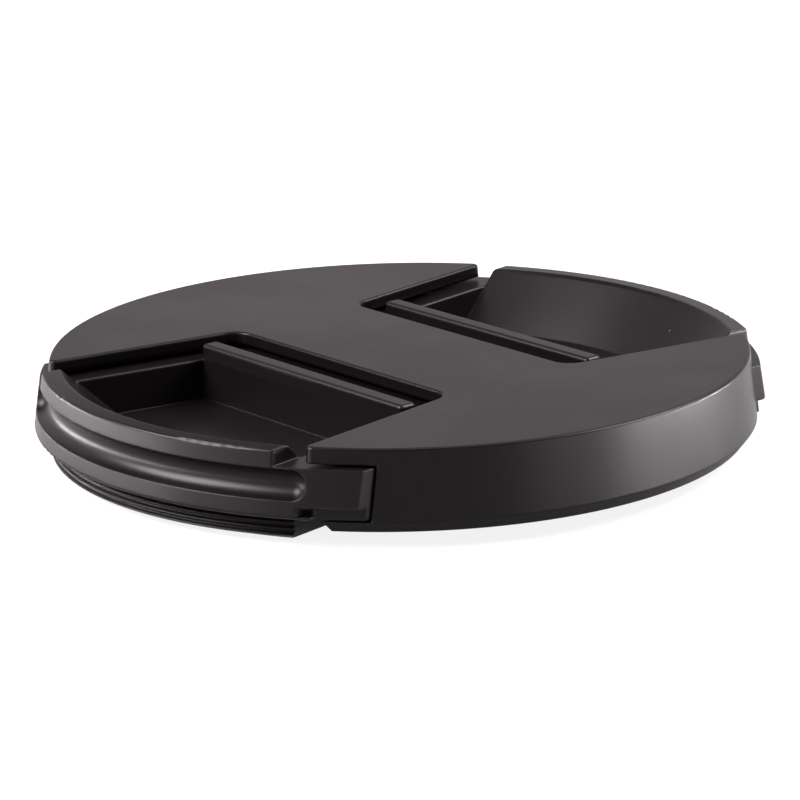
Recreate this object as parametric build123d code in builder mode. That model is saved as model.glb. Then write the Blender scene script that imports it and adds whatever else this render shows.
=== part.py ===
from build123d import *
import os
from math import asin, degrees, radians, sqrt, tan

# A centre-pinch cap for a camera lens. Two latches slide in wells of a round front cover.
# Pinching them together draws their threaded feet out of the lens's filter thread.
# Millimetres, +Z up towards the front of the cap. The origin is on the axis at the lowest face.
# The latches slide along X.

# Filter thread that the latches snap into
thread_d = 82.0
thread_depth = 0.46
thread_reach = 1.85
foot_w = 5.0
foot_inset = 2.9

# Front cover: a flat plate with a flared skirt
rim_overhang = 2.0
skirt_flare = 0.9
skirt_t = 1.4
cover_h = 8.4
plate_t = 1.9
edge_round = 0.35
corner_round = 0.8

# Wells in the cover, each widening from the central strip to the rim
strip_w = 18.9
well_w = 40.1
well_splay = 9.9
well_corner_r = 2.5

# Back plate with a bevelled edge, a locating ring below and a centring collar above
rim_h = 1.45
rim_bevel = 1.1
disc_t = 1.2
locator_gap = 0.4
locator_t = 1.6
locator_h = 0.7
locator_chamfer = 0.3
collar_gap = 0.1
collar_t = 1.2
collar_h = 1.3

# Sliding fit of the latches
travel = 3.2
slide_gap = 0.3
lift_gap = 0.3
stop_gap = 0.2

# Latch: tray with a pinch bar, a finger ramp and a grip
top_drop = 0.3
pinch_gap = 1.0
bar_t = 2.4
bar_end_gap = 1.6
bar_round = 0.5
pocket_inset = 2.4
tray_wall = 1.4
floor_t = 1.05
ramp_angle = 44.0
ramp_land = 2.2
ledge_round = 0.3

# Grip on the outer wall of the latch
grip_proud = 0.93
grip_flare = 1.17
grip_t = 5.0
grip_round = 0.4
lip_root = 0.6
groove_land = 0.1
groove_h = 3.6
groove_depth = 1.4
groove_end = 0.35
grip_reach = 2.2
notch_l = 1.4
notch_h = 1.0
notch_depth = 0.55

# Ears of the grip, and the aprons below them that fill windows of the skirt
ear_reach = 6.4
ear_h = 4.5
ear_t = 2.6
ear_round = 0.35
apron_proud = 0.25

# Flange of the latch, its stop lugs and the rails that guide it
flange_t = 1.2
flange_reach = 2.6
lug_l = 2.8
rail_t = 2.0
rail_end_gap = 0.6
tongue_gap = 2.45
tongue_reach = 2.0

# Coil springs between the latches and a rib of the back plate
spring_d = 3.9
wire_d = 0.5
wire_sides = 6
spring_turns = 6.0
spring_end_gap = 0.1
peg_gap = 0.25
peg_l = 2.6
rib_t = 2.4
rib_w = 26.0
post_d = 4.0
post_pitch = 24.0

# Heights, from the lowest face up
seat_z = thread_reach
disc_top = seat_z + disc_t
parting_z = seat_z + rim_h
top_z = parting_z + cover_h
plate_z = top_z - plate_t
ledge_z = plate_z - lift_gap
flange_z = ledge_z - flange_t
latch_top = top_z - top_drop
tray_z = disc_top + lift_gap
floor_z = tray_z + floor_t
grip_z = parting_z + lift_gap
ear_z = ledge_z - ear_h
groove_z = ledge_z - groove_land - groove_h / 2
spring_z = (disc_top + flange_z) / 2

# Radii, from the thread out
thread_r = thread_d / 2
root_r = thread_r - thread_depth
top_r = thread_r + rim_overhang
skirt_r = top_r + skirt_flare
skirt_in_r = top_r - skirt_t
flare = skirt_flare / cover_h


def skirt_at(z):
    """Outer radius of the flared skirt at height z."""
    return top_r + flare * (top_z - z)


def grip_at(z):
    """Outer radius of the grip at height z, which flares more than the skirt."""
    return skirt_at(latch_top) + grip_proud + grip_flare * (latch_top - z) / (latch_top - grip_z)


def apron_at(z):
    """Outer radius of the aprons at height z, just proud of the skirt."""
    return skirt_at(z) + apron_proud


def ramp_at(z):
    """Radius of the sloping finger ramp inside the grip at height z."""
    return grip_at(latch_top) - ramp_land - (latch_top - z) * tan(radians(ramp_angle))


def chord_x(radius, y):
    """Distance along X at which a circle about the axis reaches the width y."""
    return sqrt(radius**2 - y**2)


def half_width(x, inset=0.0):
    """Half the width of a well at distance x from the centre, narrowed by an inset on each side."""
    return well_w / 2 + (x - strip_w / 2) * tan(radians(well_splay)) - inset


def wedge(x_near, x_far, inset):
    """Corners of a plan that follows the splayed sides of a well."""
    near = half_width(x_near, inset)
    far = half_width(x_far, inset)
    return [(x_near, -near), (x_far, -far), (x_far, far), (x_near, near)]


# Places across the slide, worked out where a well meets the rim
far_x = skirt_r + grip_proud + travel
splay = tan(radians(well_splay))
well_axis_w = half_width(0)
rim_x = (sqrt(top_r**2 * (1 + splay**2) - well_axis_w**2) - well_axis_w * splay) / (1 + splay**2)
rim_half_w = half_width(rim_x)
flange_y = rim_half_w + flange_reach
grip_y = rim_half_w + grip_reach
ear_y = rim_half_w + ear_reach
window_y = ear_y + slide_gap
rail_y = flange_y + slide_gap
rail_out_y = rail_y + rail_t

# Places along the slide
strip_x = strip_w / 2
bar_x = strip_x + travel + pinch_gap
pocket_x = bar_x + bar_t
ear_in_r = grip_at(ledge_z) - ear_t
grip_in_r = grip_at(ledge_z) - grip_t
lip_root_r = ramp_at(ledge_z) + lip_root
foot_in_r = root_r - foot_w
lug_x = bar_x + lug_l
rail_in_x = lug_x + stop_gap
rail_out_x = chord_x(ear_in_r, rail_out_y) - travel - rail_end_gap
tongue_l = bar_x - travel - tongue_gap - rib_t / 2
locator_r = root_r - locator_gap
collar_r = skirt_in_r - collar_gap
peg_d = spring_d - 2 * wire_d - 2 * peg_gap
spring_l = bar_x - rib_t / 2 - 2 * spring_end_gap - wire_d
spring_pitch = spring_l / spring_turns

# Finger groove of the grip
groove_ball_r = ((groove_h / 2) ** 2 + groove_depth**2) / (2 * groove_depth)
groove_r = grip_at(groove_z) + groove_ball_r - groove_depth
groove_angle = degrees(asin((grip_y - groove_end) / groove_r) - groove_h / 2 / groove_r)
notch_y = grip_y - notch_l / 2
notch_x = chord_x(grip_at(ear_z) - notch_depth, grip_y)


# Front cover
with BuildPart() as front_cover:
    with BuildSketch(Plane.XZ):
        with BuildLine():
            Polyline(
                (0, top_z),
                (top_r, top_z),
                (skirt_r, parting_z),
                (skirt_in_r, parting_z),
                (skirt_in_r, plate_z),
                (0, plate_z),
                close=True,
            )
        make_face()
    revolve(axis=Axis.Z)
    # Windows in the skirt for the ears, open below
    with BuildSketch(Plane.XY.offset(parting_z)):
        with Locations((strip_x + far_x / 2, 0), (-strip_x - far_x / 2, 0)):
            Rectangle(far_x, 2 * window_y)
    extrude(amount=plate_z - parting_z, mode=Mode.SUBTRACT)
    # Wells with round inner corners, open to the rim
    with BuildSketch(Plane.XY.offset(parting_z)) as wells:
        with BuildLine():
            Polyline(*wedge(strip_x, far_x, 0), close=True)
        make_face()
        mirror(about=Plane.YZ)
        fillet(wells.vertices().filter_by(lambda v: abs(v.X) < bar_x), well_corner_r)
    extrude(amount=cover_h, mode=Mode.SUBTRACT)
    # Rounded corners at the rim, then one round along the whole top edge
    rim_corners = front_cover.edges().filter_by(
        lambda e: plate_z < e.center().Z < top_z
        and abs(e.center().X) > pocket_x
        and abs(e.center().Y) < window_y
    )
    fillet(rim_corners, corner_round)
    fillet(front_cover.faces().sort_by(Axis.Z)[-1].edges(), edge_round)
front_cover.part.label = "front_cover"

# Back plate: disc with a bevelled edge, two rings, rails, spring rib and posts
with BuildPart() as back_plate:
    with BuildSketch(Plane.XZ):
        with BuildLine():
            Polyline(
                (0, seat_z),
                (skirt_r - rim_bevel, seat_z),
                (skirt_r, parting_z),
                (skirt_in_r, parting_z),
                (skirt_in_r, disc_top),
                (0, disc_top),
                close=True,
            )
        make_face()
    revolve(axis=Axis.Z)
    # Locating ring, which enters the lens
    with BuildSketch(Plane.XY.offset(seat_z - locator_h)):
        Circle(locator_r)
        Circle(locator_r - locator_t, mode=Mode.SUBTRACT)
    extrude(amount=locator_h)
    chamfer(back_plate.faces().sort_by(Axis.Z)[0].edges().sort_by(SortBy.RADIUS)[-1], locator_chamfer)
    # Centring collar inside the skirt, open at the windows
    with BuildSketch(Plane.XY.offset(disc_top)):
        Circle(collar_r)
        Circle(collar_r - collar_t, mode=Mode.SUBTRACT)
        with Locations((far_x, 0), (-far_x, 0)):
            Rectangle(2 * (far_x - strip_x), 2 * window_y, mode=Mode.SUBTRACT)
    extrude(amount=parting_z - disc_top + collar_h)
    # Openings for the feet of the latches, with room for their travel
    with BuildSketch(Plane.XY):
        with Locations((far_x / 2, 0)):
            Rectangle(far_x, 2 * (grip_y + slide_gap))
        with Locations((-travel - slide_gap, 0)):
            Circle(foot_in_r, mode=Mode.SUBTRACT)
        mirror(about=Plane.YZ)
    extrude(amount=parting_z, mode=Mode.SUBTRACT)
    # Rails beside the flanges, a rib between the springs and posts under the cover
    with BuildSketch(Plane.XY.offset(disc_top)):
        with GridLocations(rail_in_x + rail_out_x, 2 * rail_y + rail_t, 2, 2):
            Rectangle(rail_out_x - rail_in_x, rail_t)
        Rectangle(rib_t, rib_w)
        with GridLocations(post_pitch, rail_out_y + collar_r - collar_t, 2, 2):
            Circle(post_d / 2)
    extrude(amount=plate_z - disc_top)
    # Pegs inside the springs
    with Locations((0, 0, spring_z)):
        Cylinder(peg_d / 2, rib_t + 2 * peg_l, rotation=(0, 90, 0))
back_plate.part.label = "back_plate"

# Profiles of the latch are turned from the opposite side, so that no seam crosses its faces
far_side = Plane.XZ.rotated((0, 0, 180))

# Space for a finger: a cone for the ramp, cut to the plan of the tray
with BuildPart() as finger_space:
    with BuildSketch(far_side):
        with BuildLine():
            Polyline(
                (0, floor_z),
                (ramp_at(floor_z), floor_z),
                (ramp_at(top_z), top_z),
                (0, top_z),
                close=True,
            )
        make_face()
    revolve(axis=Axis.Z)
    with BuildSketch(Plane.XY.offset(floor_z)):
        with BuildLine():
            Polyline(*wedge(pocket_x, far_x, pocket_inset), close=True)
        make_face()
    extrude(amount=top_z - floor_z, mode=Mode.INTERSECT)

# Pinch bar that stands on the inner wall of the tray
with BuildPart() as pinch_bar:
    with BuildSketch(Plane.XY.offset(flange_z)):
        with Locations((bar_x + bar_t / 2, 0)):
            Rectangle(bar_t, 2 * half_width(bar_x, bar_end_gap))
    extrude(amount=latch_top - flange_z)
    fillet(pinch_bar.edges().filter_by(Axis.Z), bar_round)
    fillet(pinch_bar.faces().sort_by(Axis.Z)[-1].edges(), bar_round)

# Lip of the grip, which stands up through the well and is rooted behind the groove
with BuildPart() as grip_lip:
    with BuildSketch(far_side):
        with BuildLine():
            Polyline(
                (ramp_at(flange_z), flange_z),
                (lip_root_r, flange_z),
                (lip_root_r, ledge_z),
                (grip_at(ledge_z), ledge_z),
                (grip_at(latch_top), latch_top),
                (ramp_at(latch_top), latch_top),
                close=True,
            )
        make_face()
    revolve(axis=Axis.Z)
    with BuildSketch(Plane.XY.offset(flange_z)):
        with BuildLine():
            Polyline(*wedge(strip_x, far_x, pocket_inset), close=True)
        make_face()
    extrude(amount=latch_top - flange_z, mode=Mode.INTERSECT)
    # One round along the top and down the outer corners
    lip_ends = grip_lip.faces().filter_by(GeomType.PLANE).filter_by(Axis.Z, reverse=True)
    outer_corners = lip_ends.edges().sort_by(Axis.X)[-2:]
    fillet(outer_corners + grip_lip.faces().sort_by(Axis.Z)[-1].edges(), grip_round)

# Outer wall of the grip with its finger groove
with BuildPart() as outer_wall:
    with BuildSketch(far_side) as wall_profile:
        with BuildLine():
            Polyline(
                (grip_in_r, grip_z),
                (grip_at(grip_z), grip_z),
                (grip_at(ledge_z), ledge_z),
                (grip_in_r, ledge_z),
                close=True,
            )
        make_face()
        fillet(wall_profile.vertices().sort_by(Axis.X)[-1], grip_round)
    revolve(axis=Axis.Z)
    with BuildSketch(Plane.XY):
        with Locations((far_x, 0)):
            Rectangle(2 * (far_x - strip_x), 2 * grip_y)
    extrude(amount=top_z, mode=Mode.INTERSECT)
    # Notches at the ends of its lower band
    with Locations((far_x, notch_y, ear_z - notch_h / 2), (far_x, -notch_y, ear_z - notch_h / 2)):
        Box(2 * (far_x - notch_x), notch_l, notch_h, mode=Mode.SUBTRACT)
    # Finger groove: part of a ring, closed by a ball at each end
    with BuildSketch(Plane.XZ.rotated((0, 0, -groove_angle))):
        with Locations((groove_r, groove_z)):
            Circle(groove_ball_r)
    revolve(axis=Axis.Z, revolution_arc=2 * groove_angle, mode=Mode.SUBTRACT)
    for end_angle, turn in ((groove_angle, 0), (-groove_angle, 180)):
        with PolarLocations(groove_r, 1, end_angle):
            with Locations((0, 0, groove_z)):
                Sphere(groove_ball_r, arc_size3=180, rotation=(0, 0, turn), align=None, mode=Mode.SUBTRACT)

# Ears beside the grip, which reach sideways under the cover, with aprons below
with BuildPart() as ears:
    with BuildSketch(far_side):
        with BuildLine():
            Polyline(
                (ear_in_r, grip_z),
                (apron_at(grip_z), grip_z),
                (apron_at(ear_z), ear_z),
                (grip_at(ear_z), ear_z),
                (grip_at(ledge_z), ledge_z),
                (ear_in_r, ledge_z),
                close=True,
            )
        make_face()
    revolve(axis=Axis.Z)
    with BuildSketch(Plane.XY):
        with Locations((far_x, (grip_y + ear_y) / 2), (far_x, -(grip_y + ear_y) / 2)):
            Rectangle(2 * (far_x - strip_x), ear_y - grip_y)
    extrude(amount=top_z, mode=Mode.INTERSECT)
    # Rounds at the ends and the lower edges of both ears
    ear_faces = ears.faces().filter_by(GeomType.CONE).sort_by(SortBy.AREA)[-2:]
    ear_edges = ear_faces.edges().filter_by(
        lambda e: abs(e.center().Y) > grip_y + ear_round and e.center().Z < ledge_z - ear_round
    )
    fillet(ear_edges, ear_round)

# Latch on the +X side
with BuildPart() as right_latch:
    # Tray
    with BuildSketch(Plane.XY.offset(tray_z)):
        with BuildLine():
            Polyline(*wedge(bar_x, far_x, pocket_inset - tray_wall), close=True)
        make_face()
        Circle(root_r, mode=Mode.INTERSECT)
    extrude(amount=ledge_z - tray_z)
    # Flange under the cover, with stop lugs behind the rails and a tongue under the strip
    with BuildSketch(Plane.XY.offset(flange_z)):
        with Locations((far_x, 0)):
            Rectangle(2 * (far_x - bar_x), 2 * flange_y)
        Circle(root_r, mode=Mode.INTERSECT)
        with Locations((bar_x + lug_l / 2, 0)):
            Rectangle(lug_l, 2 * rail_out_y)
        with Locations((bar_x - tongue_l / 2, 0)):
            Rectangle(tongue_l, 2 * half_width(bar_x, -tongue_reach))
    extrude(amount=flange_t)
    # Foot that carries the thread
    with BuildSketch(Plane.XY):
        with BuildLine():
            Polyline(*wedge(pocket_x, far_x, foot_inset), close=True)
        make_face()
        Circle(root_r, mode=Mode.INTERSECT)
        Circle(foot_in_r, mode=Mode.SUBTRACT)
    extrude(amount=floor_z)
    add(outer_wall.part)
    add(ears.part)
    add(finger_space.part, mode=Mode.SUBTRACT)
    # Rounded upper edges of the pocket's side walls
    ledge_edges = right_latch.edges().filter_by(
        lambda e: abs(e.center().Z - ledge_z) < ledge_round
        and abs(abs(e.center().Y) - half_width(e.center().X, pocket_inset)) < ledge_round
    )
    fillet(ledge_edges, ledge_round)
    add(grip_lip.part)
    add(pinch_bar.part)
    # Peg inside the spring
    with Locations((bar_x - peg_l / 2, 0, spring_z)):
        Cylinder(peg_d / 2, peg_l, rotation=(0, 90, 0))
right_latch.part.label = "right_latch"

with BuildPart() as left_latch:
    add(right_latch.part.rotate(Axis.Z, 180))
left_latch.part.label = "left_latch"

# Coil springs
with BuildPart() as right_spring:
    with BuildLine() as coil:
        Helix(
            spring_pitch,
            spring_l,
            (spring_d - wire_d) / 2,
            center=(rib_t / 2 + spring_end_gap + wire_d / 2, 0, spring_z),
            direction=(1, 0, 0),
        )
    with BuildSketch(Plane(coil.line @ 0, z_dir=coil.line % 0)):
        RegularPolygon(wire_d / 2, wire_sides)
    sweep(path=coil.line, is_frenet=True)
right_spring.part.label = "right_spring"

with BuildPart() as left_spring:
    add(right_spring.part.rotate(Axis.Z, 180))
left_spring.part.label = "left_spring"

os.makedirs("parts", exist_ok=True)
for piece in (front_cover, back_plate, left_latch, right_latch, left_spring, right_spring):
    export_step(piece.part, f"parts/{piece.part.label}.step")
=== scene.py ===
import bpy
import numpy as np
from mathutils import Matrix, Vector


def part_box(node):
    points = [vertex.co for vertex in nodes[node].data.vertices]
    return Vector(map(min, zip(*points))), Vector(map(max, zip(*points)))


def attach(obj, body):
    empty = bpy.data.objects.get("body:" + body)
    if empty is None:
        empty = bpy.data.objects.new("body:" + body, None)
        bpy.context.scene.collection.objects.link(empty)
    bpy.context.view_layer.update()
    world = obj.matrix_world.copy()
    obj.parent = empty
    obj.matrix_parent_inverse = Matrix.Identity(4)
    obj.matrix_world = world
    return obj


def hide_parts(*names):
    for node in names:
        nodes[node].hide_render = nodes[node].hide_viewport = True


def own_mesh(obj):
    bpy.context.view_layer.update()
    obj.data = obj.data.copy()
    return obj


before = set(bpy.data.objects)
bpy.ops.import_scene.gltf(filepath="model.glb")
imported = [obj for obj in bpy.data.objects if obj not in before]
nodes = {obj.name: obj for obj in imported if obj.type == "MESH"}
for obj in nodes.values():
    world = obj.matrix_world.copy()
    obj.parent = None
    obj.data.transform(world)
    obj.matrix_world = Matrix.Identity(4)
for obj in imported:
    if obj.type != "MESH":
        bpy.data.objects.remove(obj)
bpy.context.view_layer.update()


# Front cover: the round plate with its flared skirt that is seen from the front.
# It is injection moulded in black plastic, in a mould with a fine spark-eroded grain,
# and it is welded to the back plate along the skirt.
def put_node(tree, kind, **inputs):
    """A node of that kind, with values or links put into its named inputs."""
    node = tree.nodes.new(kind)
    for name, value in inputs.items():
        socket = node.inputs[name.replace("_", " ")]
        if isinstance(value, bpy.types.NodeSocket):
            tree.links.new(value, socket)
        else:
            socket.default_value = value
    return node


def put_math(tree, operation, *values):
    """The result of a Math node with that operation on the values or links."""
    node = tree.nodes.new("ShaderNodeMath")
    node.operation = operation
    for socket, value in zip(node.inputs, values):
        if isinstance(value, bpy.types.NodeSocket):
            tree.links.new(value, socket)
        else:
            socket.default_value = value
    return node.outputs[0]


def put_step(tree, value, low, high):
    """A smooth step from 0 at low to 1 at high."""
    node = tree.nodes.new("ShaderNodeMapRange")
    node.interpolation_type = "SMOOTHSTEP"
    tree.links.new(value, node.inputs["Value"])
    node.inputs["From Min"].default_value = low
    node.inputs["From Max"].default_value = high
    return node.outputs["Result"]


def new_group(name, inputs, outputs):
    """An empty shader node group with float sockets, and a vector that it reads."""
    group = bpy.data.node_groups.new(name, "ShaderNodeTree")
    group.interface.new_socket("Vector", in_out="INPUT", socket_type="NodeSocketVector")
    for socket in inputs:
        group.interface.new_socket(socket, in_out="INPUT", socket_type="NodeSocketFloat")
    for socket in outputs:
        group.interface.new_socket(socket, in_out="OUTPUT", socket_type="NodeSocketFloat")
    return group, group.nodes.new("NodeGroupInput"), group.nodes.new("NodeGroupOutput")


# Grain of the mould: a fine noise, and a slow swell from uneven cooling
swell_share = 0.35
mould_grain, grain_in, grain_out = new_group(
    "mould_grain", ["Grain Scale", "Swell Scale"], ["Height", "Tone"]
)
fine = put_node(
    mould_grain,
    "ShaderNodeTexNoise",
    Vector=grain_in.outputs["Vector"],
    Scale=grain_in.outputs["Grain Scale"],
    Detail=3.0,
    Roughness=0.6,
)
swell = put_node(
    mould_grain,
    "ShaderNodeTexNoise",
    Vector=grain_in.outputs["Vector"],
    Scale=grain_in.outputs["Swell Scale"],
    Detail=2.0,
    Roughness=0.5,
)
grain_height = put_math(
    mould_grain,
    "MULTIPLY_ADD",
    swell.outputs["Fac"],
    swell_share,
    fine.outputs["Fac"],
)
mould_grain.links.new(grain_height, grain_out.inputs["Height"])
mould_grain.links.new(fine.outputs["Fac"], grain_out.inputs["Tone"])

# Marks of use: broad patches rubbed smooth by fingers, hairline scuffs and specks of dust
rub_edge = (0.42, 0.66)
scuff_edge = (0.70, 0.78)
scuff_angle = 0.6
scuff_scale = (180.0, 5200.0, 180.0)
speck_scale = 900.0
speck_edge = (0.04, 0.11)
use_marks, marks_in, marks_out = new_group(
    "use_marks", ["Patch Scale", "Dust Share"], ["Rub", "Scuff", "Dust"]
)
patches = put_node(
    use_marks,
    "ShaderNodeTexNoise",
    Vector=marks_in.outputs["Vector"],
    Scale=marks_in.outputs["Patch Scale"],
    Detail=4.0,
    Roughness=0.55,
)
use_marks.links.new(
    put_step(use_marks, patches.outputs["Fac"], *rub_edge), marks_out.inputs["Rub"]
)
scuff_turn = put_node(
    use_marks,
    "ShaderNodeMapping",
    Vector=marks_in.outputs["Vector"],
    Rotation=(0.0, 0.0, scuff_angle),
    Scale=scuff_scale,
)
scuffs = put_node(
    use_marks, "ShaderNodeTexNoise", Vector=scuff_turn.outputs["Vector"], Scale=1.0, Detail=1.0
)
use_marks.links.new(
    put_step(use_marks, scuffs.outputs["Fac"], *scuff_edge), marks_out.inputs["Scuff"]
)
specks = put_node(
    use_marks, "ShaderNodeTexVoronoi", Vector=marks_in.outputs["Vector"], Scale=speck_scale
)
speck_pick = put_node(
    use_marks, "ShaderNodeTexWhiteNoise", Vector=specks.outputs["Position"]
)
speck_there = put_math(
    use_marks, "LESS_THAN", speck_pick.outputs["Value"], marks_in.outputs["Dust Share"]
)
speck_spot = put_math(
    use_marks, "SUBTRACT", 1.0, put_step(use_marks, specks.outputs["Distance"], *speck_edge)
)
use_marks.links.new(
    put_math(use_marks, "MULTIPLY", speck_there, speck_spot), marks_out.inputs["Dust"]
)


# Finish of the plastic that all the mouldings share
grain_scale = 5200.0
swell_scale = 160.0
patch_scale = 55.0
mottle_dark = 0.75
mottle_light = 1.25
dust_colour = (0.10, 0.095, 0.09, 1.0)
scuff_dullness = 0.02
edge_samples = 8


def moulded_plastic(
    name, colour, roughness, specular, grain_depth, rub_shine, edge_radius, dust_share
):
    """Black moulded plastic: grain as bump over softened edges, rubbed patches and scuffs in
    the roughness, and dust in the colour."""
    material = bpy.data.materials.new(name)
    material.use_nodes = True
    tree = material.node_tree
    shader = tree.nodes["Principled BSDF"]
    shader.inputs["Specular IOR Level"].default_value = specular
    place = tree.nodes.new("ShaderNodeTexCoord").outputs["Object"]
    grain = tree.nodes.new("ShaderNodeGroup")
    grain.node_tree = mould_grain
    tree.links.new(place, grain.inputs["Vector"])
    grain.inputs["Grain Scale"].default_value = grain_scale
    grain.inputs["Swell Scale"].default_value = swell_scale
    marks = tree.nodes.new("ShaderNodeGroup")
    marks.node_tree = use_marks
    tree.links.new(place, marks.inputs["Vector"])
    marks.inputs["Patch Scale"].default_value = patch_scale
    marks.inputs["Dust Share"].default_value = dust_share
    # Colour: a slight mottle with the grain, then dust on top
    mottle = tree.nodes.new("ShaderNodeMix")
    mottle.data_type = "RGBA"
    tree.links.new(grain.outputs["Tone"], mottle.inputs["Factor"])
    mottle.inputs["A"].default_value = (*(mottle_dark * c for c in colour), 1.0)
    mottle.inputs["B"].default_value = (*(mottle_light * c for c in colour), 1.0)
    dusty = tree.nodes.new("ShaderNodeMix")
    dusty.data_type = "RGBA"
    tree.links.new(marks.outputs["Dust"], dusty.inputs["Factor"])
    tree.links.new(mottle.outputs["Result"], dusty.inputs["A"])
    dusty.inputs["B"].default_value = dust_colour
    tree.links.new(dusty.outputs["Result"], shader.inputs["Base Color"])
    # Roughness: less where fingers rub, more along scuffs
    rubbed = put_math(tree, "MULTIPLY_ADD", marks.outputs["Rub"], -rub_shine, roughness)
    scuffed = put_math(tree, "MULTIPLY_ADD", marks.outputs["Scuff"], scuff_dullness, rubbed)
    tree.links.new(scuffed, shader.inputs["Roughness"])
    # Normal: edges softened as a mould's are, with the grain on them
    soft_edge = tree.nodes.new("ShaderNodeBevel")
    soft_edge.samples = edge_samples
    soft_edge.inputs["Radius"].default_value = edge_radius
    bump = tree.nodes.new("ShaderNodeBump")
    bump.inputs["Strength"].default_value = 1.0
    bump.inputs["Distance"].default_value = grain_depth
    tree.links.new(grain.outputs["Height"], bump.inputs["Height"])
    tree.links.new(soft_edge.outputs["Normal"], bump.inputs["Normal"])
    tree.links.new(bump.outputs["Normal"], shader.inputs["Normal"])
    return material


def dress(node, material):
    """Gives a carried-over node that material alone."""
    node.data.materials.clear()
    node.data.materials.append(material)


cover_plastic = moulded_plastic(
    "cover_black_satin",
    colour=(0.0023, 0.0018, 0.0019),
    roughness=0.34,
    specular=0.09,
    grain_depth=0.000006,
    rub_shine=0.04,
    edge_radius=0.00022,
    dust_share=0.004,
)
dress(nodes["front_cover"], cover_plastic)


# Back plate: the disc behind the latches with its bevelled edge, rails, rib and posts.
# It is moulded in a duller black plastic than the cover, because only its edge is seen.
back_plastic = moulded_plastic(
    "back_plate_black",
    colour=(0.0020, 0.0016, 0.0017),
    roughness=0.45,
    specular=0.05,
    grain_depth=0.000006,
    rub_shine=0.03,
    edge_radius=0.00010,
    dust_share=0.006,
)
dress(nodes["back_plate"], back_plastic)


# Latches: two equal mouldings that slide in the wells, each with a pinch bar, a finger
# ramp and a grooved grip. They are moulded in tough black plastic with softly rounded edges,
# and are held between the cover and the back plate.
latch_plastic = moulded_plastic(
    "latch_black_satin",
    colour=(0.0023, 0.0018, 0.0019),
    roughness=0.37,
    specular=0.11,
    grain_depth=0.000004,
    rub_shine=0.03,
    edge_radius=0.00030,
    dust_share=0.004,
)
# The top of the lip seems to lean a little outwards, and the solid has it flat. A bump that falls
# over its width shows the lean, mixed in only near the top, so that the groove and the foot keep
# their own normals.
lip_inner_r = 0.0414
lip_outer_r = 0.04375
lip_lean = np.tan(np.radians(15))
lip_foot_z = 0.0106
lip_top_z = 0.0110
latch_tree = latch_plastic.node_tree
lip_flat = latch_tree.nodes.new("ShaderNodeVectorMath")
lip_flat.operation = "MULTIPLY"
latch_place = latch_tree.nodes["Texture Coordinate"].outputs["Object"]
latch_tree.links.new(latch_place, lip_flat.inputs[0])
lip_flat.inputs[1].default_value = (1.0, 1.0, 0.0)
lip_reach = latch_tree.nodes.new("ShaderNodeVectorMath")
lip_reach.operation = "LENGTH"
latch_tree.links.new(lip_flat.outputs["Vector"], lip_reach.inputs[0])
lip_rise = put_node(
    latch_tree,
    "ShaderNodeMapRange",
    Value=lip_reach.outputs["Value"],
    From_Min=lip_inner_r,
    From_Max=lip_outer_r,
    To_Min=(lip_outer_r - lip_inner_r) * lip_lean,
    To_Max=0.0,
)
lip_bump = put_node(
    latch_tree,
    "ShaderNodeBump",
    Strength=1.0,
    Distance=1.0,
    Height=lip_rise.outputs["Result"],
    Normal=latch_tree.nodes["Bevel"].outputs["Normal"],
)
latch_height = put_node(latch_tree, "ShaderNodeSeparateXYZ", Vector=latch_place).outputs["Z"]
lip_normal = latch_tree.nodes.new("ShaderNodeMix")
lip_normal.data_type = "VECTOR"
latch_tree.links.new(
    put_step(latch_tree, latch_height, lip_foot_z, lip_top_z), lip_normal.inputs["Factor"]
)
latch_tree.links.new(latch_tree.nodes["Bevel"].outputs["Normal"], lip_normal.inputs["A"])
latch_tree.links.new(lip_bump.outputs["Normal"], lip_normal.inputs["B"])
latch_tree.links.new(lip_normal.outputs["Result"], latch_tree.nodes["Bump"].inputs["Normal"])
for side in ("left_latch", "right_latch"):
    dress(nodes[side], latch_plastic)


# Threaded shoe of each latch: an arc of fine screw thread on the foot, moulded with the latch.
# It snaps into the filter thread of a lens, comes out of it when the latch is pinched, and
# stands further out on a free latch than on one that is in the thread.
thread_crest_r = 0.0410
thread_root_r = 0.04054
thread_pitch = 0.00075
thread_top_crest = 0.00256
tooth_height = 1.10
tooth_slope = 1.25
thread_sharp_angle = np.radians(50)
shoe_spread = 0.0025
shoe_inner_r = 0.0357
shoe_bottom = 0.00086
shoe_top = 0.00362
shoe_side_y = 0.01730
shoe_side_slope = np.tan(np.radians(9.9))


def mesh_piece(name, points, quads, fans):
    """An object at the origin from an array of points, an array of quads and lists of caps."""
    mesh = bpy.data.meshes.new(name)
    mesh.from_pydata(points.tolist(), [], quads.tolist() + fans)
    mesh.validate()
    mesh.shade_smooth()
    piece = bpy.data.objects.new(name, mesh)
    bpy.context.scene.collection.objects.link(piece)
    return piece


def tube_quads(along, around):
    """Quads of a closed profile of around points that is carried through along stations."""
    i, j = np.meshgrid(np.arange(along - 1), np.arange(around), indexing="ij")
    k = (j + 1) % around
    corners = (i * around + j, (i + 1) * around + j, (i + 1) * around + k, i * around + k)
    return np.stack(corners, axis=-1).reshape(-1, 4)


def end_angle(radius):
    """Angle at which a circle of that radius about the shoe's own centre meets its splayed side:
    the side's slope plus the arcsine of the side's distance from that centre over the radius."""
    lift = shoe_side_y + shoe_side_slope * shoe_spread
    slope = np.arctan(shoe_side_slope)
    return slope + np.arcsin(lift * np.cos(slope) / radius)


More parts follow.
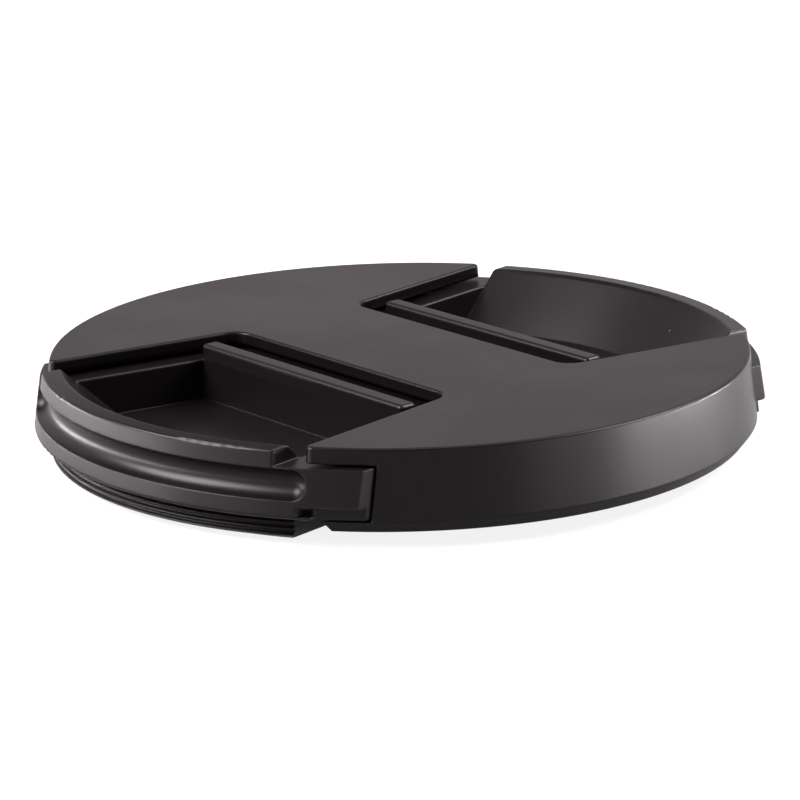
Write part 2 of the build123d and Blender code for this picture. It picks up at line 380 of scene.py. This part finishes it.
def thread_shoe(name, turn):
    """A threaded arc: the radius at height z and angle a is the root plus the depth times a
    flat-topped tooth of z less the lead of a, between the bottom and a plain neck; the profile
    closes at the inner radius, and each end lies in the plane of the splayed side."""
    stations = 141
    heights = 101
    share = np.linspace(-1.0, 1.0, stations)[:, None]
    z = np.linspace(shoe_bottom, shoe_top, heights)[None, :]
    lead = thread_pitch * share * end_angle(thread_root_r) / (2 * np.pi)
    phase = (z - lead - thread_top_crest) / thread_pitch
    tooth = np.abs(2 * (phase - np.floor(phase + 0.5)))
    rise = np.clip(tooth_height - tooth_slope * tooth, 0.0, 1.0)
    below_neck = z - lead < thread_top_crest + 0.5 * thread_pitch
    radius = thread_root_r + (thread_crest_r - thread_root_r) * rise * below_neck
    inner = np.full((stations, 2), shoe_inner_r)
    radius = np.concatenate([radius, inner], axis=1)
    z = np.concatenate([z, [[shoe_top, shoe_bottom]]], axis=1) + 0 * share
    angle = share * end_angle(radius)
    out = shoe_spread + radius * np.cos(angle)
    across = radius * np.sin(angle)
    points = np.stack([turn * out, turn * across, z], axis=-1)
    around = heights + 2
    first = list(range(around))
    last = [(stations - 1) * around + i for i in reversed(range(around))]
    return mesh_piece(name, points.reshape(-1, 3), tube_quads(stations, around), [first, last])


for side, turn in (("left", -1.0), ("right", 1.0)):
    shoe = thread_shoe(f"{side}_thread", turn)
    shoe.data.materials.append(latch_plastic)
    shoe.data.set_sharp_from_angle(angle=thread_sharp_angle)
    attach(shoe, f"{side}_latch")


# Coil springs: one to a latch, wound from drawn steel wire with a closed turn at each end.
# They stand on pegs between the rib of the back plate and the latch, and push the latch out.
wire_grain_scale = 9000.0
wire_swell_scale = 700.0
wire_dark = (0.46, 0.45, 0.43, 1.0)
wire_bright = (0.66, 0.65, 0.63, 1.0)
wire_roughness = 0.18
streak_roughness = 0.22
die_mark_depth = 0.000003


def drawn_wire(name):
    """Bright steel wire: fine streaks in the roughness, and a bump from the drawing die."""
    material = bpy.data.materials.new(name)
    material.use_nodes = True
    tree = material.node_tree
    shader = tree.nodes["Principled BSDF"]
    shader.inputs["Metallic"].default_value = 1.0
    place = tree.nodes.new("ShaderNodeTexCoord").outputs["Object"]
    grain = tree.nodes.new("ShaderNodeGroup")
    grain.node_tree = mould_grain
    tree.links.new(place, grain.inputs["Vector"])
    grain.inputs["Grain Scale"].default_value = wire_grain_scale
    grain.inputs["Swell Scale"].default_value = wire_swell_scale
    tint = tree.nodes.new("ShaderNodeMix")
    tint.data_type = "RGBA"
    tree.links.new(grain.outputs["Tone"], tint.inputs["Factor"])
    tint.inputs["A"].default_value = wire_dark
    tint.inputs["B"].default_value = wire_bright
    tree.links.new(tint.outputs["Result"], shader.inputs["Base Color"])
    streaks = put_math(
        tree, "MULTIPLY_ADD", grain.outputs["Tone"], streak_roughness, wire_roughness
    )
    tree.links.new(streaks, shader.inputs["Roughness"])
    bump = tree.nodes.new("ShaderNodeBump")
    bump.inputs["Distance"].default_value = die_mark_depth
    tree.links.new(grain.outputs["Height"], bump.inputs["Height"])
    tree.links.new(bump.outputs["Normal"], shader.inputs["Normal"])
    return material


def coil_spring(name, low, high, wire_r, turn):
    """A helix along X from one corner of a box to the other: the angle grows evenly, and the
    advance is about one wire's width over the first and last turn and even between; the wire's
    section is a circle in the plane across the helix. With turn, it is turned half round Z."""
    stations = 420
    around = 10
    turns = 7.0
    share = np.linspace(0.0, 1.0, stations)
    swept = 2 * np.pi * turns * share
    closed = 2 * wire_r / (2 * np.pi)
    middle = (high.x - low.x - 2 * wire_r - 4 * wire_r) / (2 * np.pi * (turns - 2))
    slope = np.where((share < 1 / turns) | (share > 1 - 1 / turns), closed, middle)
    advance = np.concatenate([[0.0], np.cumsum(0.5 * (slope[1:] + slope[:-1]) * np.diff(swept))])
    advance *= (high.x - low.x - 2 * wire_r) / advance[-1]
    mean_r = (high.z - low.z) / 2 - wire_r
    centre_y, centre_z = (low.y + high.y) / 2, (low.z + high.z) / 2
    outward = np.stack([0 * swept, np.cos(swept), np.sin(swept)], axis=-1)
    path = outward * mean_r
    path[:, 0] = low.x + wire_r + advance
    path[:, 1] += centre_y
    path[:, 2] += centre_z
    ahead = np.gradient(path, axis=0)
    ahead /= np.linalg.norm(ahead, axis=1, keepdims=True)
    across = np.cross(ahead, outward)
    circle = np.linspace(0.0, 2 * np.pi, around, endpoint=False)[None, :, None]
    ring = np.cos(circle) * outward[:, None, :] + np.sin(circle) * across[:, None, :]
    points = (path[:, None, :] + wire_r * ring).reshape(-1, 3)
    first = list(reversed(range(around)))
    last = [(stations - 1) * around + i for i in range(around)]
    if turn:
        points = points * np.array([-1.0, -1.0, 1.0])
    return mesh_piece(name, points, tube_quads(stations, around)[:, ::-1], [first, last])


spring_wire_r = 0.00025
spring_steel = drawn_wire("drawn_spring_steel")
right_low, right_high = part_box("right_spring")
for side, turn in (("left", True), ("right", False)):
    spring = coil_spring(f"{side}_coil", right_low, right_high, spring_wire_r, turn)
    spring.data.materials.append(spring_steel)
    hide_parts(f"{side}_spring")
    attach(spring, "cap")
    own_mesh(spring)


# Floor: a wide round sheet of white paper that the cap stands on.
# The camera and reflections see it as nearly white, and it keeps the soft shadow of the cap.
def background_rays(tree):
    """One for a ray that the camera, a reflection or clear material sends, zero for the rest."""
    path = tree.nodes.new("ShaderNodeLightPath")
    seen = put_math(tree, "MAXIMUM", path.outputs["Is Camera Ray"], path.outputs["Is Glossy Ray"])
    return put_math(tree, "MAXIMUM", seen, path.outputs["Is Transmission Ray"])


floor_r = 2.5
floor_drop = 0.00002
floor_white_share = 0.86
floor_sides = 128
paper_colour = (0.86, 0.86, 0.86, 1.0)
rim = np.linspace(0.0, 2 * np.pi, floor_sides, endpoint=False)
floor_points = np.stack(
    [floor_r * np.cos(rim), floor_r * np.sin(rim), 0 * rim - floor_drop], axis=-1
)
floor = mesh_piece("paper_floor", floor_points, np.zeros((0, 4), int), [list(range(len(rim)))])
floor_paper = bpy.data.materials.new("white_paper")
floor_paper.use_nodes = True
paper = floor_paper.node_tree
paper_shader = paper.nodes["Principled BSDF"]
paper_shader.inputs["Base Color"].default_value = paper_colour
paper_shader.inputs["Roughness"].default_value = 0.9
paper_shader.inputs["Specular IOR Level"].default_value = 0.1
paper_white = put_node(paper, "ShaderNodeEmission", Color=(1.0, 1.0, 1.0, 1.0), Strength=1.0)
paper_mix = paper.nodes.new("ShaderNodeMixShader")
paper.links.new(
    put_math(paper, "MULTIPLY", background_rays(paper), floor_white_share), paper_mix.inputs["Fac"]
)
paper.links.new(paper_shader.outputs["BSDF"], paper_mix.inputs[1])
paper.links.new(paper_white.outputs["Emission"], paper_mix.inputs[2])
paper.links.new(paper_mix.outputs["Shader"], paper.nodes["Material Output"].inputs["Surface"])
floor.data.materials.append(floor_paper)


# Camera: a long lens, about forty degrees round from the front and fifteen above the table.
# Its place, roll and shift were fitted to the outline of the cap in the photo.
cover_top = Vector((0.0, 0.0, 0.0117))
camera_distance = 0.4553
camera_azimuth = np.radians(-39.97)
camera_elevation = np.radians(15.349)
camera_roll = np.radians(-1.107)
ahead = Vector(
    (
        -np.sin(camera_azimuth) * np.cos(camera_elevation),
        np.cos(camera_azimuth) * np.cos(camera_elevation),
        -np.sin(camera_elevation),
    )
)
right = ahead.cross(Vector((0, 0, 1))).normalized()
up = right.cross(ahead)
turned_right = np.cos(camera_roll) * right + np.sin(camera_roll) * up
turned_up = np.cos(camera_roll) * up - np.sin(camera_roll) * right
camera_data = bpy.data.cameras.new("camera")
camera_data.sensor_width = 36.0
camera_data.lens = 166.5
camera_data.shift_x = 0.00064
camera_data.shift_y = -0.0662
camera_data.clip_start = 0.01
camera = bpy.data.objects.new("camera", camera_data)
bpy.context.scene.collection.objects.link(camera)
camera.matrix_world = Matrix.Translation(cover_top - camera_distance * ahead) @ Matrix(
    (turned_right, turned_up, -ahead)
).transposed().to_4x4()
bpy.context.scene.camera = camera


# Studio light: a soft box above and one at each side, and low strips that light the skirt and
# the grips but stay under the plane of the cover's top. The room is pale at eye level and darker
# overhead.
lamp_tint = (1.0, 0.93, 0.945)
strip_height = 0.006
strip_depth = 0.0105
flat_ahead = Vector((ahead.x, ahead.y, 0)).normalized()


def soft_box(name, sideways, forwards, height, width, depth, watts):
    """A rectangular lamp that faces the cap, placed to the photo's right and ahead from it."""
    lamp = bpy.data.lights.new(name, "AREA")
    lamp.shape = "RECTANGLE"
    lamp.size = width
    lamp.size_y = depth
    lamp.energy = watts
    lamp.color = lamp_tint
    box = bpy.data.objects.new(name, lamp)
    bpy.context.scene.collection.objects.link(box)
    box.location = right * sideways + flat_ahead * forwards + Vector((0, 0, height))
    box.visible_camera = False
    box.rotation_euler = (cover_top - box.location).to_track_quat("-Z", "Y").to_euler()


# Each lamp: metres to the right, ahead and up, then its width and depth, and its watts
soft_box("box_above", 0.10, 0.05, 0.90, 0.60, 0.60, 6.4)
soft_box("box_left", -0.42, -0.10, 0.34, 0.36, 0.24, 11.5)
soft_box("box_right", 0.42, 0.08, 0.40, 0.36, 0.24, 9.0)
soft_box("strip_left", -0.20, 0.03, strip_height, 0.24, strip_depth, 0.54)
soft_box("strip_front_left", -0.15, -0.11, strip_height, 0.12, strip_depth, 0.06)
soft_box("strip_right", 0.20, 0.00, strip_height, 0.18, strip_depth, 1.1)
soft_box("strip_front_right", 0.15, -0.12, strip_height, 0.10, strip_depth, 0.09)

world = bpy.data.worlds.new("pale_room")
world.use_nodes = True
bpy.context.scene.world = world
room = world.node_tree
ambient_level = 0.30
overhead_level = 0.12
horizon_level = 0.86
overhead_edge = (0.45, 0.85)
room_way = room.nodes.new("ShaderNodeTexCoord").outputs["Generated"]
room_height = put_node(room, "ShaderNodeSeparateXYZ", Vector=room_way).outputs["Z"]
overhead = put_step(room, room_height, *overhead_edge)
seen_level = put_math(
    room, "MULTIPLY_ADD", overhead, overhead_level - horizon_level, horizon_level
)
room_level = room.nodes.new("ShaderNodeMix")
room.links.new(background_rays(room), room_level.inputs["Factor"])
room_level.inputs["A"].default_value = ambient_level
room_seen = room.nodes.new("ShaderNodeLightPath").outputs["Is Camera Ray"]
room.links.new(put_math(room, "MAXIMUM", seen_level, room_seen), room_level.inputs["B"])
room.links.new(room_level.outputs["Result"], room.nodes["Background"].inputs["Strength"])
room_tint = room.nodes.new("ShaderNodeMix")
room_tint.data_type = "RGBA"
room.links.new(room_seen, room_tint.inputs["Factor"])
room_tint.inputs["A"].default_value = (*lamp_tint, 1.0)
room_tint.inputs["B"].default_value = (1.0, 1.0, 1.0, 1.0)
room.links.new(room_tint.outputs["Result"], room.nodes["Background"].inputs["Color"])

bpy.context.scene.view_settings.view_transform = "Standard"
